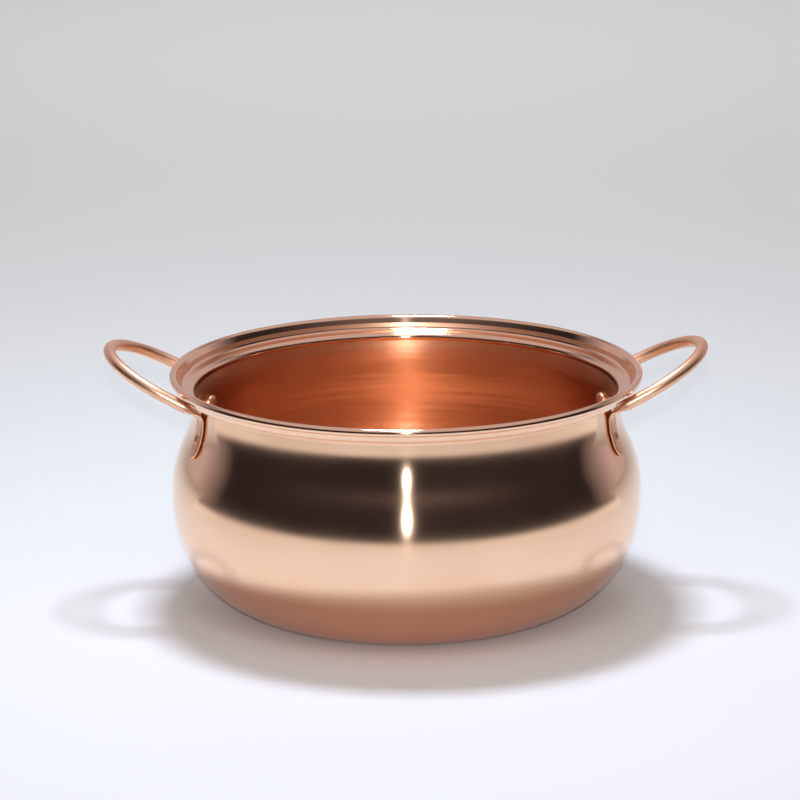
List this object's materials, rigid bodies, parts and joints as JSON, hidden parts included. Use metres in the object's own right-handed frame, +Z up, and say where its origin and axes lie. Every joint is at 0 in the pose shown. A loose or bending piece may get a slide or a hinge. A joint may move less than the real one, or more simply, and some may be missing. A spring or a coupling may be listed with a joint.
{
  "type": "soup pot",
  "caption": "Open, round-bellied copper soup pot with a rolled rim, a lid ledge inside the mouth and riveted loop handles that slope upwards.",
  "frame": {"origin": "middle of the underside of the base", "axes": "+X towards the right handle, +Y away from the front, +Z up through the mouth"},
  "size_m": [0.306, 0.24, 0.1359],
  "materials": {
    "vessel_copper": "spun copper sheet, mirror polished outside, satin inside",
    "handle_copper": "polished copper rod",
    "rivet_copper": "polished copper rivet"
  },
  "bodies": {
    "root": {"vessel": "vessel_copper", "handle_right": "handle_copper", "handle_left": "handle_copper", "rivet_right_front": "rivet_copper", "rivet_right_back": "rivet_copper", "rivet_left_front": "rivet_copper", "rivet_left_back": "rivet_copper"}
  },
  "joints": []
}
